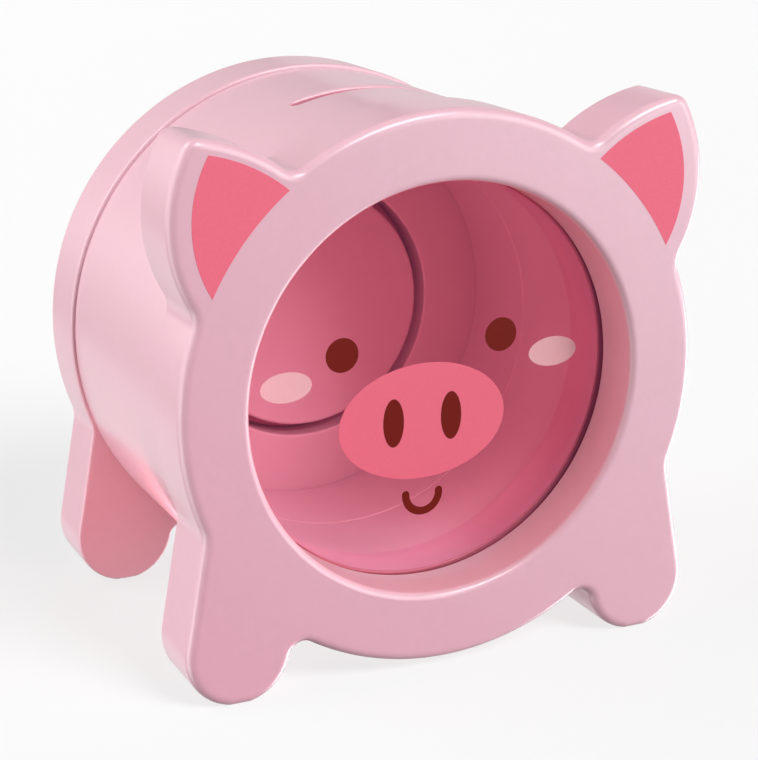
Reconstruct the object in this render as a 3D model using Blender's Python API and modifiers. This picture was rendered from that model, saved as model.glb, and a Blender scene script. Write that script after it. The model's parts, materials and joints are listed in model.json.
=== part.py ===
"""Pig-shaped wooden money box: two shaped panels on a round wooden barrel, with a
clear window in the face, a coin slot on top and a round pull-out door in the back.

Metres, +Z up. The face looks along -Y. The origin is on the floor under the middle.
Runs alone in Blender 4.5: blender --background --python part.py
"""

import math

import bmesh
import bpy
from mathutils import Matrix, Vector

# ---------------------------------------------------------------- driving dimensions
GAP = 0.0003                 # clearance left between pieces that touch or are glued

DEPTH = 0.0975               # whole length, face to back
BODY_Z = 0.0670              # height of the barrel's axis above the floor
PANEL_THICK = 0.0180         # front and rear panels are cut from 18 mm board
PANEL_ROUND = 0.0022         # rounding along the panels' outer edges
PANEL_JOINT_ROUND = 0.0008   # rounding along the edges that meet the barrel

FRONT_RADIUS = 0.0650        # round part of the front panel
REAR_RADIUS = 0.0645         # round part of the rear panel
BARREL_RADIUS = 0.0635       # outside of the barrel

FOOT_X = 0.0517              # middle of a foot's rounded end
FOOT_RADIUS = 0.0127
FOOT_FLAT = 0.0050           # flat that each foot stands on
FOOT_SPLAY = math.radians(9.9)      # slope of the foot's outer side
FOOT_CROTCH = 0.0035         # hollow fillet between foot and belly
FOOT_HIP = 0.0070            # hollow fillet between foot and flank

EAR_SIDE_C = (0.0299, 0.0442)       # arc of the ear's outer side: centre from the axis
EAR_SIDE_R = 0.0367
EAR_TOP_C = (0.0662, 0.0184)        # arc of the ear's upper side
EAR_TOP_R = 0.0455
EAR_TIP_R = 0.0036
EAR_BASE_LOW = 0.0060        # hollow fillets where the ear meets the round part
EAR_BASE_TOP = 0.0042

WINDOW_RADIUS = 0.0485       # round hole in the face
WINDOW_ROUND = 0.0016        # rounding of its lip
WINDOW_SET_BACK = 0.0126     # depth of the rebate's seat behind the face
PANE_RADIUS = 0.0517
PANE_THICK = 0.0020
REBATE_RADIUS = 0.0520

COLLAR_RADIUS = 0.0517       # the first ring's collar, which holds the pane in its rebate
RING_FRONT_INNER = 0.0487    # first barrel ring laps behind the pane's edge
BARREL_INNER = 0.0502
RING_EDGES = (0.0281, 0.0537)       # depths where the three barrel rings meet

SLOT_LENGTH = 0.0380         # coin slot, across the top
SLOT_WIDTH = 0.0046
SLOT_DEPTH_AT = 0.0450       # distance behind the face

DOOR_HOLE_RADIUS = 0.0347    # opening in the rear panel
DOOR_SEAT_RADIUS = 0.0390    # stepped seat round it, open to the back
DOOR_SEAT_DEPTH = 0.0060
DOOR_BOSS_RADIUS = 0.0320
GRIP_RADIUS = 0.0230         # finger recess in the door's outer face
GRIP_DEPTH = 0.0080
GRIP_BAR = 0.0110
SEAL_LENGTH = 0.0060

DOWEL_RADIUS = 0.0030
DOWEL_RING = 0.0568          # distance of the dowels from the barrel's axis
DOWEL_IN = 0.0095            # how far a dowel runs into each panel
DOWEL_ANGLES = {"dowel_upper_right": 42.0, "dowel_upper_left": 138.0,
                "dowel_lower_left": 222.0, "dowel_lower_right": 318.0}

ROUND_STEPS = 48             # sides of the large turned pieces
ARC_STEP = math.radians(7.5)

# ---------------------------------------------------------------- scene
for old in list(bpy.data.objects):
    bpy.data.objects.remove(old, do_unlink=True)

parts = bpy.data.collections.new("pig_money_box")
tools = bpy.data.collections.new("cutters")
bpy.context.scene.collection.children.link(parts)
bpy.context.scene.collection.children.link(tools)


def y_at(depth):
    """World y of a distance behind the face."""
    return depth - DEPTH / 2


def material(name, colour, roughness, metallic=0.0, alpha=1.0):
    made = bpy.data.materials.new(name)
    made.use_nodes = True
    shader = made.node_tree.nodes["Principled BSDF"]
    shader.inputs["Base Color"].default_value = (*colour, 1.0)
    shader.inputs["Roughness"].default_value = roughness
    shader.inputs["Metallic"].default_value = metallic
    shader.inputs["Alpha"].default_value = alpha
    return made


PINK = material("pink_paint", (0.79, 0.47, 0.55), 0.42)
PINK_SIDE = material("pink_paint_barrel", (0.86, 0.60, 0.64), 0.45)
CLEAR = material("rose_acrylic", (0.80, 0.22, 0.32), 0.08, alpha=0.35)
RUBBER = material("seal_rubber", (0.48, 0.16, 0.21), 0.7)
BEECH = material("bare_beech", (0.72, 0.50, 0.30), 0.6)


# ---------------------------------------------------------------- outlines
def arc(centre, radius, start, end):
    """Points along an arc; it runs clockwise when end is less than start."""
    step = ARC_STEP if radius > 0.01 else ARC_STEP * 2
    count = max(2, math.ceil(abs(end - start) / step) + 1)
    return [Vector((centre[0] + radius * math.cos(start + (end - start) * i / (count - 1)),
                    centre[1] + radius * math.sin(start + (end - start) * i / (count - 1))))
            for i in range(count)]


def angle_of(centre, point):
    return math.atan2(point[1] - centre[1], point[0] - centre[0])


def between(c1, r1, c2, r2, near):
    """Point at distance r1 from c1 and r2 from c2, whichever of the two is nearer."""
    c1, c2, near = Vector(c1), Vector(c2), Vector(near)
    gap = (c2 - c1).length
    along = (gap * gap + r1 * r1 - r2 * r2) / (2 * gap)
    across = math.sqrt(max(r1 * r1 - along * along, 0.0))
    u = (c2 - c1) / gap
    v = Vector((-u.y, u.x))
    found = (c1 + u * along + v * across, c1 + u * along - v * across)
    return min(found, key=lambda p: (p - near).length)


def turn(centre, radius, start_point, end_point, clockwise=False):
    """Arc about centre between the directions of two points."""
    a, b = angle_of(centre, start_point), angle_of(centre, end_point)
    if clockwise:
        while b > a:
            b -= 2 * math.pi
    else:
        while b < a:
            b += 2 * math.pi
    return arc(centre, radius, a, b)


def panel_half(radius, ears):
    """Right half of a panel's outline, from bottom middle to top middle, about the axis."""
    o = Vector((0.0, 0.0))
    foot_z = -(BODY_Z - math.sqrt(FOOT_RADIUS ** 2 - (FOOT_FLAT / 2) ** 2))
    foot = Vector((FOOT_X, foot_z))
    bottom = -BODY_Z
    # outward normal and direction of the foot's straight outer side
    n = Vector((math.cos(FOOT_SPLAY), math.sin(FOOT_SPLAY)))
    t = Vector((-n.y, n.x))

    crotch = between(o, radius + FOOT_CROTCH, foot, FOOT_RADIUS + FOOT_CROTCH,
                     (FOOT_X * 0.65, -radius))
    knee = foot + n * FOOT_RADIUS
    # hip fillet: on the side line pushed out by its radius, and clear of the round part
    base = foot + n * (FOOT_RADIUS + FOOT_HIP)
    reach = radius + FOOT_HIP
    b = base.dot(t)
    hip = base + t * (-b - math.sqrt(b * b - base.dot(base) + reach * reach))

    line = turn(o, radius, Vector((0.0, -1.0)), crotch)
    line += turn(crotch, FOOT_CROTCH, o, foot, clockwise=True)
    flat = math.sqrt(FOOT_RADIUS ** 2 - (bottom - foot_z) ** 2)
    line += turn(foot, FOOT_RADIUS, crotch, Vector((FOOT_X - flat, bottom)))
    line += turn(foot, FOOT_RADIUS, Vector((FOOT_X + flat, bottom)), knee)
    line += turn(hip, FOOT_HIP, hip - n, o, clockwise=True)
    if ears:
        side, top = Vector(EAR_SIDE_C), Vector(EAR_TOP_C)
        low = between(o, radius + EAR_BASE_LOW, side, EAR_SIDE_R + EAR_BASE_LOW,
                      (radius, radius * 0.3))
        high = between(o, radius + EAR_BASE_TOP, top, EAR_TOP_R + EAR_BASE_TOP,
                       (radius * 0.5, radius))
        tip = between(side, EAR_SIDE_R - EAR_TIP_R, top, EAR_TOP_R - EAR_TIP_R,
                      (radius, radius))
        line += turn(o, radius, hip, low)
        line += turn(low, EAR_BASE_LOW, o, side, clockwise=True)
        line += turn(side, EAR_SIDE_R, low, tip)
        line += turn(tip, EAR_TIP_R, tip + (tip - side), tip + (tip - top))
        line += turn(top, EAR_TOP_R, tip, high)
        line += turn(high, EAR_BASE_TOP, top, o, clockwise=True)
        line += turn(o, radius, high, Vector((0.0, 1.0)))
    else:
        line += turn(o, radius, hip, Vector((0.0, 1.0)))
    clean = [line[0]]
    for point in line[1:]:
        if (point - clean[-1]).length > 2e-5:
            clean.append(point)
    return clean


def panel_outline(radius, ears):
    half = panel_half(radius, ears)
    return half + [Vector((-p.x, p.y)) for p in reversed(half[1:-1])]


# ---------------------------------------------------------------- makers
def to_mesh(obj, name, collection):
    """Replaces a curve or a modified object by its evaluated mesh, with its caps welded."""
    bpy.context.view_layer.update()
    graph = bpy.context.evaluated_depsgraph_get()
    mesh = bpy.data.meshes.new_from_object(obj.evaluated_get(graph))
    made = bpy.data.objects.new(name, mesh)
    made.matrix_world = obj.matrix_world.copy()
    collection.objects.link(made)
    bpy.data.objects.remove(obj, do_unlink=True)
    work = bmesh.new()
    work.from_mesh(mesh)
    bmesh.ops.remove_doubles(work, verts=work.verts, dist=0.00001)
    bmesh.ops.recalc_face_normals(work, faces=work.faces)
    work.to_mesh(mesh)
    work.free()
    return made


def plate(name, outline, thickness, rounding, place, collection):
    """A flat shape from a closed outline, standing in the XZ plane, centred on place.

    rounding is the edge radius on the front side and on the back side.
    """
    data = bpy.data.curves.new(name + "_outline", "CURVE")
    data.dimensions = "2D"
    data.fill_mode = "BOTH"
    spline = data.splines.new("POLY")
    spline.points.add(len(outline) - 1)
    for point, at in zip(spline.points, outline):
        point.co = (at[0], at[1], 0.0, 1.0)
    spline.use_cyclic_u = True
    data.extrude = thickness / 2
    curve = bpy.data.objects.new(name + "_curve", data)
    curve.matrix_world = Matrix.Translation(place) @ Matrix.Rotation(math.pi / 2, 4, "X")
    collection.objects.link(curve)
    made = to_mesh(curve, name, collection)
    work = bmesh.new()
    work.from_mesh(made.data)
    for side in (1, -1):
        caps = [face for face in work.faces if face.normal.z * side > 0.99]
        bmesh.ops.dissolve_faces(work, faces=caps)
    weight = work.edges.layers.float.new("bevel_weight_edge")
    for face in work.faces:
        if rounding and abs(face.normal.z) > 0.99:
            radius = rounding[0] if face.normal.z > 0 else rounding[1]
            for edge in face.edges:
                edge[weight] = radius / max(rounding)
    work.to_mesh(made.data)
    work.free()
    if rounding:
        edges = made.modifiers.new("edges", "BEVEL")
        edges.width = max(rounding)
        edges.segments = 2
        edges.limit_method = "WEIGHT"
        edges.use_clamp_overlap = False
    return made


def turned(name, profile, closed, place, collection, steps=ROUND_STEPS):
    """Turns (radius, depth) points about the line along Y through place."""
    work = bmesh.new()
    verts = [work.verts.new((r, 0.0, d)) for r, d in profile]
    for a, b in zip(verts, verts[1:]):
        work.edges.new((a, b))
    if closed:
        work.edges.new((verts[-1], verts[0]))
    mesh = bpy.data.meshes.new(name + "_profile")
    work.to_mesh(mesh)
    work.free()
    shape = bpy.data.objects.new(name + "_shape", mesh)
    collection.objects.link(shape)
    spin = shape.modifiers.new("turn", "SCREW")
    spin.axis = "Z"
    spin.steps = spin.render_steps = steps
    spin.use_merge_vertices = True
    spin.merge_threshold = 0.00001
    shape.matrix_world = Matrix.Translation(place) @ Matrix.Rotation(-math.pi / 2, 4, "X")
    return to_mesh(shape, name, collection)


def ring_profile(outer, inner, start, end, soft=0.0004):
    """Closed section of a ring with its four corners eased."""
    return [(outer - soft, end), (outer, end - soft), (outer, start + soft), (outer - soft, start),
            (inner + soft, start), (inner, start + soft), (inner, end - soft), (inner + soft, end)]


def collared_profile(outer, collar, inner, front, start, end, soft=0.0004):
    """Closed section of a ring whose front carries a thinner collar from front to start."""
    return [(outer - soft, end), (outer, end - soft), (outer, start + soft), (outer - soft, start),
            (collar, start), (collar, front + soft), (collar - soft, front),
            (inner + soft, front), (inner, front + soft), (inner, end - soft), (inner + soft, end)]


def rod_profile(radius, start, end, soft):
    return [(0.0, end), (radius - soft, end), (radius, end - soft),
            (radius, start + soft), (radius - soft, start), (0.0, start)]


def as_cutter(obj):
    obj.hide_render = True
    obj.display_type = "WIRE"
    return obj


def cut(obj, cutter):
    step = obj.modifiers.new("cut_" + cutter.name, "BOOLEAN")
    step.operation = "DIFFERENCE"
    step.solver = "EXACT"
    step.object = cutter


def finish(obj, mat):
    obj.data.materials.clear()
    obj.data.materials.append(mat)
    obj.data.shade_smooth()
    obj.data.set_sharp_from_angle(angle=math.radians(35))


AXIS = Vector((0.0, y_at(0.0), BODY_Z))       # point on the barrel's axis at the face

# ---------------------------------------------------------------- dowels and their holes
BACK = DEPTH - PANEL_THICK                    # depth of the rear panel's inner face
dowel_from = PANEL_THICK - DOWEL_IN
dowel_to = BACK + DOWEL_IN
holes = []
for name, degrees in DOWEL_ANGLES.items():
    a = math.radians(degrees)
    at = AXIS + Vector((DOWEL_RING * math.cos(a), 0.0, DOWEL_RING * math.sin(a)))
    dowel = turned(name, rod_profile(DOWEL_RADIUS, dowel_from, dowel_to, 0.0006),
                   False, at, parts, steps=14)
    finish(dowel, BEECH)
    hole = turned("hole_for_" + name,
                  rod_profile(DOWEL_RADIUS + GAP, dowel_from - 0.0005, dowel_to + 0.0005, 0.0001),
                  False, at, tools, steps=14)
    holes.append(as_cutter(hole))

# ---------------------------------------------------------------- front panel and window
front = plate("front_panel", panel_outline(FRONT_RADIUS, True), PANEL_THICK,
              (PANEL_ROUND, PANEL_JOINT_ROUND),
              AXIS + Vector((0, PANEL_THICK / 2, 0)), parts)
lip = [(WINDOW_RADIUS + WINDOW_ROUND - WINDOW_ROUND * math.cos(a),
        WINDOW_ROUND - WINDOW_ROUND * math.sin(a))
       for a in (math.radians(d) for d in range(90, -1, -30))]
window = as_cutter(turned(
    "window_cutter",
    [(0.0, PANEL_THICK + 0.004), (REBATE_RADIUS, PANEL_THICK + 0.004),
     (REBATE_RADIUS, WINDOW_SET_BACK), (WINDOW_RADIUS, WINDOW_SET_BACK)]
    + lip[::-1] + [(WINDOW_RADIUS + WINDOW_ROUND, -0.004), (0.0, -0.004)],
    False, AXIS, tools, steps=64))
cut(front, window)
for hole in holes:
    cut(front, hole)
finish(front, PINK)

pane_from = WINDOW_SET_BACK + GAP
pane = turned("window_pane",
              rod_profile(PANE_RADIUS, pane_from, pane_from + PANE_THICK, 0.0003),
              False, AXIS, parts)
finish(pane, CLEAR)

# ---------------------------------------------------------------- barrel, three glued rings
first, second = RING_EDGES
spans = {
    "barrel_front_ring": (RING_FRONT_INNER, PANEL_THICK + GAP, first),
    "barrel_slot_ring": (BARREL_INNER, first + GAP, second),
    "barrel_rear_ring": (BARREL_INNER, second + GAP, BACK - GAP),
}
rings = {}
pane_back = pane_from + PANE_THICK
for name, (inner, start, end) in spans.items():
    section = ring_profile(BARREL_RADIUS, inner, start, end)
    if name == "barrel_front_ring":
        section = collared_profile(BARREL_RADIUS, COLLAR_RADIUS, inner, pane_back + GAP, start, end)
    ring = turned(name, section, True, AXIS, parts)
    for hole in holes:
        cut(ring, hole)
    rings[name] = ring

half = SLOT_LENGTH / 2 - SLOT_WIDTH / 2
slot_shape = (arc((half, 0), SLOT_WIDTH / 2, -math.pi / 2, math.pi / 2)
              + arc((-half, 0), SLOT_WIDTH / 2, math.pi / 2, 3 * math.pi / 2))
slot = plate("slot_cutter", slot_shape, 0.040, None, Vector((0, 0, 0)), tools)
slot.matrix_world = Matrix.Translation((0, y_at(SLOT_DEPTH_AT), BODY_Z + BARREL_RADIUS - 0.010))
as_cutter(slot)
cut(rings["barrel_slot_ring"], slot)
for ring in rings.values():
    finish(ring, PINK_SIDE)

# ---------------------------------------------------------------- rear panel, door and seal
rear = plate("rear_panel", panel_outline(REAR_RADIUS, False), PANEL_THICK,
             (PANEL_JOINT_ROUND, PANEL_ROUND),
             AXIS + Vector((0, BACK + PANEL_THICK / 2, 0)), parts)
seat = DEPTH - DOOR_SEAT_DEPTH
opening = as_cutter(turned(
    "door_opening_cutter",
    [(0.0, DEPTH + 0.004), (DOOR_SEAT_RADIUS, DEPTH + 0.004), (DOOR_SEAT_RADIUS, seat),
     (DOOR_HOLE_RADIUS, seat), (DOOR_HOLE_RADIUS, BACK + 0.0006),
     (DOOR_HOLE_RADIUS + 0.0006, BACK), (DOOR_HOLE_RADIUS + 0.0006, BACK - 0.004),
     (0.0, BACK - 0.004)], False, AXIS, tools))
cut(rear, opening)
for hole in holes:
    cut(rear, hole)
finish(rear, PINK)

door = turned(
    "rear_door",
    [(0.0, DEPTH), (DOOR_SEAT_RADIUS - GAP - 0.0012, DEPTH),
     (DOOR_SEAT_RADIUS - GAP, DEPTH - 0.0012), (DOOR_SEAT_RADIUS - GAP, seat + GAP),
     (DOOR_BOSS_RADIUS, seat + GAP), (DOOR_BOSS_RADIUS, BACK + 0.0010),
     (DOOR_BOSS_RADIUS - 0.0010, BACK), (0.0, BACK)], False, AXIS, parts)


def grip_pocket(side):
    """Half of the finger recess: a round pocket cut off by the grip bar's face."""
    lift = GRIP_BAR / 2
    reach = math.sqrt(GRIP_RADIUS ** 2 - lift ** 2)
    a = math.atan2(lift, reach)
    points = arc((0, 0), GRIP_RADIUS, a, math.pi - a)
    return [Vector((p.x, side * p.y)) for p in (points if side > 0 else reversed(points))]


for side, label in ((1, "upper"), (-1, "lower")):
    pocket = plate("grip_cutter_" + label, grip_pocket(side), GRIP_DEPTH * 2, None,
                   AXIS + Vector((0, DEPTH, 0)), tools)
    cut(door, as_cutter(pocket))
finish(door, PINK)

seal = turned("door_seal_ring",
              ring_profile(DOOR_HOLE_RADIUS - GAP, DOOR_BOSS_RADIUS + GAP,
                           seat - SEAL_LENGTH, seat, 0.0006), True, AXIS, parts)
finish(seal, RUBBER)
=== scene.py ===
"""Looks of the pig-shaped wooden money box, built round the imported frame.

Metres, +Z up, the face looks along -Y. Every place comes from the frame's own boxes.
"""

import json
import math

import bmesh
import bpy
import numpy as np
from mathutils import Matrix, Vector

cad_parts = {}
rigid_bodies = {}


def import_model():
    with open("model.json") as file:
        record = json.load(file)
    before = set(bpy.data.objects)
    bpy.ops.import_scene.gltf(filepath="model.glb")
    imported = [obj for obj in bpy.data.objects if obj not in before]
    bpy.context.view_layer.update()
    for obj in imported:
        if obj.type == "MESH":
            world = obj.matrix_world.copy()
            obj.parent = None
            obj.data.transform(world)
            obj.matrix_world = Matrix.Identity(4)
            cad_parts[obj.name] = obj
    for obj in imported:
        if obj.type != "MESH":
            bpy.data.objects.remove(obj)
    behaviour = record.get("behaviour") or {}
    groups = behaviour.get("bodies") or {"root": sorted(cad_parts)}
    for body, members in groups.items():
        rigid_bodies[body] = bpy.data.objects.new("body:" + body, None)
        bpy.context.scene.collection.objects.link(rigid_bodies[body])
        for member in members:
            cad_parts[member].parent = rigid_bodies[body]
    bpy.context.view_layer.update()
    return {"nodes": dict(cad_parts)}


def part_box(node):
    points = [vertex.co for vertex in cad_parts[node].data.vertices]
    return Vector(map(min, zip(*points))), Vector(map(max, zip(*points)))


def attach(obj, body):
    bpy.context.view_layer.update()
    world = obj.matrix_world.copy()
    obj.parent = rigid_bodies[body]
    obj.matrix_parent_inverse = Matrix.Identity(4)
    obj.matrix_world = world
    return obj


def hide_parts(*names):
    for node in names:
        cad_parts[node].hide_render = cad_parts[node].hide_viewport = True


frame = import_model()

# ------------------------------------------------------------------ places from the frame
F_LO, F_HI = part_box("front_panel")
R_LO, R_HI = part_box("rear_panel")
B_LO, B_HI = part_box("barrel_slot_ring")
G_LO, G_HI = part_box("barrel_front_ring")
P_LO, P_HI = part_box("window_pane")
D_LO, D_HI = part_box("rear_door")
S_LO, S_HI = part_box("door_seal_ring")

FACE = F_LO.y                                  # world y of the face
AXIS_Z = (B_LO.z + B_HI.z) / 2
BARREL_R = (B_HI.z - B_LO.z) / 2
FRONT_R = F_HI.z - AXIS_Z
REAR_R = R_HI.z - AXIS_Z
THICK = F_HI.y - F_LO.y
BACK = R_LO.y - FACE                           # depths are measured from the face
END = R_HI.y - FACE
PANE_FROM = P_LO.y - FACE
PANE_TO = P_HI.y - FACE
PANE_R = (P_HI.x - P_LO.x) / 2
FLOOR = F_LO.z

# ------------------------------------------------------------------ shape, as in the design
FOOT_X, FOOT_RADIUS, FOOT_FLAT = 0.0517, 0.0127, 0.0050
FOOT_SPLAY, FOOT_CROTCH, FOOT_HIP = math.radians(9.9), 0.0035, 0.0070
EAR_SIDE_C, EAR_SIDE_R = (0.0299, 0.0442), 0.0367
EAR_TOP_C, EAR_TOP_R = (0.0662, 0.0184), 0.0455
EAR_TIP_R, EAR_BASE_LOW, EAR_BASE_TOP = 0.0036, 0.0060, 0.0042
WINDOW_R, WINDOW_ROUND, SEAT_AT, REBATE_R = 0.0485, 0.0016, 0.0126, 0.0520
RING_FRONT_INNER, BARREL_INNER, SPIGOT_R = 0.0487, 0.0502, 0.0517
PRINT_ROOM = 0.00008
SLOT_LENGTH, SLOT_WIDTH, SLOT_AT, SLOT_ROUND = 0.0370, 0.0038, 0.0450, 0.0009
DOOR_HOLE_R, DOOR_SEAT_R, DOOR_SEAT_DEPTH, DOOR_BOSS_R = 0.0347, 0.0390, 0.0060, 0.0320
GRIP_R, GRIP_DEPTH, GRIP_BAR = 0.0230, 0.0080, 0.0110
DOWEL_R, DOWEL_RING, DOWEL_IN = 0.0030, 0.0568, 0.0095
DOWELS = (42.0, 138.0, 222.0, 318.0)
EDGE_OUT, EDGE_IN = 0.0022, 0.0008             # rounding on the outer and inner edges

U = FRONT_R                                    # the face's radius, the unit of the print


# ------------------------------------------------------------------ outlines
def arc(centre, radius, start, end, step=math.radians(1.6)):
    if radius < 0.008:
        step *= 5
    elif radius < 0.02:
        step *= 2.5
    count = max(3, math.ceil(abs(end - start) / step) + 1)
    return [Vector((centre[0] + radius * math.cos(start + (end - start) * i / (count - 1)),
                    centre[1] + radius * math.sin(start + (end - start) * i / (count - 1))))
            for i in range(count)]


def between(c1, r1, c2, r2, near):
    c1, c2, near = Vector(c1), Vector(c2), Vector(near)
    gap = (c2 - c1).length
    along = (gap * gap + r1 * r1 - r2 * r2) / (2 * gap)
    across = math.sqrt(max(r1 * r1 - along * along, 0.0))
    u = (c2 - c1) / gap
    v = Vector((-u.y, u.x))
    return min((c1 + u * along + v * across, c1 + u * along - v * across),
               key=lambda p: (p - near).length)


def turn(centre, radius, start_point, end_point, clockwise=False):
    a = math.atan2(start_point[1] - centre[1], start_point[0] - centre[0])
    b = math.atan2(end_point[1] - centre[1], end_point[0] - centre[0])
    while clockwise and b > a:
        b -= 2 * math.pi
    while not clockwise and b < a:
        b += 2 * math.pi
    return arc(centre, radius, a, b)


def straight(a, b, pitch=0.0012):
    a, b = Vector(a), Vector(b)
    count = max(2, math.ceil((b - a).length / pitch) + 1)
    return [a.lerp(b, i / (count - 1)) for i in range(count)]


def tidy(points, closed=True):
    clean = [points[0]]
    for p in points[1:]:
        if (p - clean[-1]).length > 3e-5:
            clean.append(p)
    if closed and (clean[0] - clean[-1]).length < 3e-5:
        clean.pop()
    return clean


def panel_outline(radius, ears):
    o = Vector((0.0, 0.0))
    height = AXIS_Z - FLOOR
    foot = Vector((FOOT_X, -(height - math.sqrt(FOOT_RADIUS ** 2 - (FOOT_FLAT / 2) ** 2))))
    n = Vector((math.cos(FOOT_SPLAY), math.sin(FOOT_SPLAY)))
    t = Vector((-n.y, n.x))
    crotch = between(o, radius + FOOT_CROTCH, foot, FOOT_RADIUS + FOOT_CROTCH,
                     (FOOT_X * 0.65, -radius))
    knee = foot + n * FOOT_RADIUS
    base = foot + n * (FOOT_RADIUS + FOOT_HIP)
    reach = radius + FOOT_HIP
    b = base.dot(t)
    hip = base + t * (-b - math.sqrt(b * b - base.dot(base) + reach * reach))
    flat = FOOT_FLAT / 2
    half = turn(o, radius, Vector((0.0, -1.0)), crotch)
    half += turn(crotch, FOOT_CROTCH, o, foot, clockwise=True)
    half += turn(foot, FOOT_RADIUS, crotch, Vector((FOOT_X - flat, -height)))
    half += turn(foot, FOOT_RADIUS, Vector((FOOT_X + flat, -height)), knee)
    half += straight(knee, hip - n * FOOT_HIP)
    half += turn(hip, FOOT_HIP, hip - n, o, clockwise=True)
    if ears:
        side, top = Vector(EAR_SIDE_C), Vector(EAR_TOP_C)
        low = between(o, radius + EAR_BASE_LOW, side, EAR_SIDE_R + EAR_BASE_LOW,
                      (radius, radius * 0.3))
        high = between(o, radius + EAR_BASE_TOP, top, EAR_TOP_R + EAR_BASE_TOP,
                       (radius * 0.5, radius))
        tip = between(side, EAR_SIDE_R - EAR_TIP_R, top, EAR_TOP_R - EAR_TIP_R,
                      (radius, radius))
        half += turn(o, radius, hip, low)
        half += turn(low, EAR_BASE_LOW, o, side, clockwise=True)
        half += turn(side, EAR_SIDE_R, low, tip)
        half += turn(tip, EAR_TIP_R, tip + (tip - side), tip + (tip - top))
        half += turn(top, EAR_TOP_R, tip, high)
        half += turn(high, EAR_BASE_TOP, top, o, clockwise=True)
        half += turn(o, radius, high, Vector((0.0, 1.0)))
    else:
        half += turn(o, radius, hip, Vector((0.0, 1.0)))
    half = tidy(half, closed=False)
    return half + [Vector((-p.x, p.y)) for p in reversed(half[1:-1])]


def circle(radius, count=240, centre=(0.0, 0.0)):
    return [Vector((centre[0] + radius * math.cos(2 * math.pi * i / count),
                    centre[1] + radius * math.sin(2 * math.pi * i / count)))
            for i in range(count)]


def ellipse(cx, cz, a, b, tilt=0.0, count=96):
    out = []
    for i in range(count):
        p = 2 * math.pi * i / count
        x, z = a * math.cos(p), b * math.sin(p)
        out.append(Vector((cx + x * math.cos(tilt) - z * math.sin(tilt),
                           cz + x * math.sin(tilt) + z * math.cos(tilt))))
    return out


def normals_of(points):
    """Unit normals to the right of the walk, so outward on a counter-clockwise loop."""
    count = len(points)
    found = []
    for i in range(count):
        d = points[(i + 1) % count] - points[i - 1]
        n = Vector((d.y, -d.x))
        found.append(n / max(n.length, 1e-12))
    return found


def quarter(radius, steps=6):
    """(inset, depth) from the flat face's edge round to the side."""
    return [(radius - radius * math.sin(a), radius - radius * math.cos(a))
            for a in (math.pi / 2 * i / steps for i in range(steps + 1))]


# ------------------------------------------------------------------ mesh building
class Sheet:
    """Rings of points joined by quads, with flat caps filled between rings."""

    def __init__(self, name):
        self.name = name
        self.bm = bmesh.new()
        self.flat = self.bm.faces.layers.int.new("flat")

    def ring(self, outline, inset, depth, normals=None):
        normals = normals or normals_of(outline)
        return [self.bm.verts.new((p.x - n.x * inset, FACE + depth, AXIS_Z + p.y - n.y * inset))
                for p, n in zip(outline, normals)]

    def rings(self, outline, profile):
        normals = normals_of(outline)
        return [self.ring(outline, inset, depth, normals) for inset, depth in profile]

    def skin(self, rings):
        for a, b in zip(rings, rings[1:]):
            count = len(a)
            for i in range(count):
                j = (i + 1) % count
                self.bm.faces.new((a[i], a[j], b[j], b[i]))
        return rings[0], rings[-1]

    def cap(self, *loops):
        edges = []
        for loop in loops:
            for i, v in enumerate(loop):
                w = loop[(i + 1) % len(loop)]
                edges.append(self.bm.edges.get((v, w)) or self.bm.edges.new((v, w)))
        made = bmesh.ops.triangle_fill(self.bm, use_beauty=True, use_dissolve=False, edges=edges)
        for item in made["geom"]:
            if isinstance(item, bmesh.types.BMFace):
                item[self.flat] = 1

    def done(self, soft=math.radians(40)):
        bmesh.ops.recalc_face_normals(self.bm, faces=self.bm.faces)
        mesh = bpy.data.meshes.new(self.name)
        self.bm.to_mesh(mesh)
        self.bm.free()
        obj = bpy.data.objects.new(self.name, mesh)
        bpy.context.scene.collection.objects.link(obj)
        soften(mesh, soft)
        return obj


def soften(mesh, limit):
    """Smooth corner normals within limit; a flat cap keeps its own normal up to its rim."""
    mesh.shade_smooth()
    bm = bmesh.new()
    bm.from_mesh(mesh)
    bm.normal_update()
    flat = bm.faces.layers.int.get("flat")
    least = math.cos(limit)
    normals = []
    for face in bm.faces:
        own = face.normal.copy()
        is_flat = flat is not None and face[flat]
        for loop in face.loops:
            if is_flat:
                normals.append(own)
                continue
            total = Vector()
            settled = None
            for other in loop.vert.link_faces:
                if other.normal.dot(own) > least:
                    if flat is not None and other[flat]:
                        settled = other.normal.copy()
                        break
                    total += other.normal * other.calc_area()
            normals.append(settled or (total.normalized() if total.length > 1e-12 else own))
    bm.free()
    mesh.normals_split_custom_set([tuple(n) for n in normals])


def as_mesh(obj):
    """Applies the modifiers of obj."""
    bpy.context.view_layer.update()
    graph = bpy.context.evaluated_depsgraph_get()
    mesh = bpy.data.meshes.new_from_object(obj.evaluated_get(graph))
    old = obj.data
    obj.modifiers.clear()
    obj.data = mesh
    bpy.data.meshes.remove(old)
    return obj


# ------------------------------------------------------------------ node helpers
def nodes_for(name):
    mat = bpy.data.materials.new(name)
    mat.use_nodes = True
    tree = mat.node_tree
    tree.nodes.clear()
    out = tree.nodes.new("ShaderNodeOutputMaterial")
    return mat, tree, out


def add(tree, kind, inputs=None, **settings):
    node = tree.nodes.new(kind)
    for key, value in settings.items():
        setattr(node, key, value)
    for key, value in (inputs or {}).items():
        if isinstance(value, bpy.types.NodeSocket):
            tree.links.new(value, node.inputs[key])
        else:
            node.inputs[key].default_value = value
    return node


def srgb(r, g, b):
    def one(c):
        c /= 255.0
        return c / 12.92 if c <= 0.04045 else ((c + 0.055) / 1.055) ** 2.4
    return (one(r), one(g), one(b), 1.0)


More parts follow.
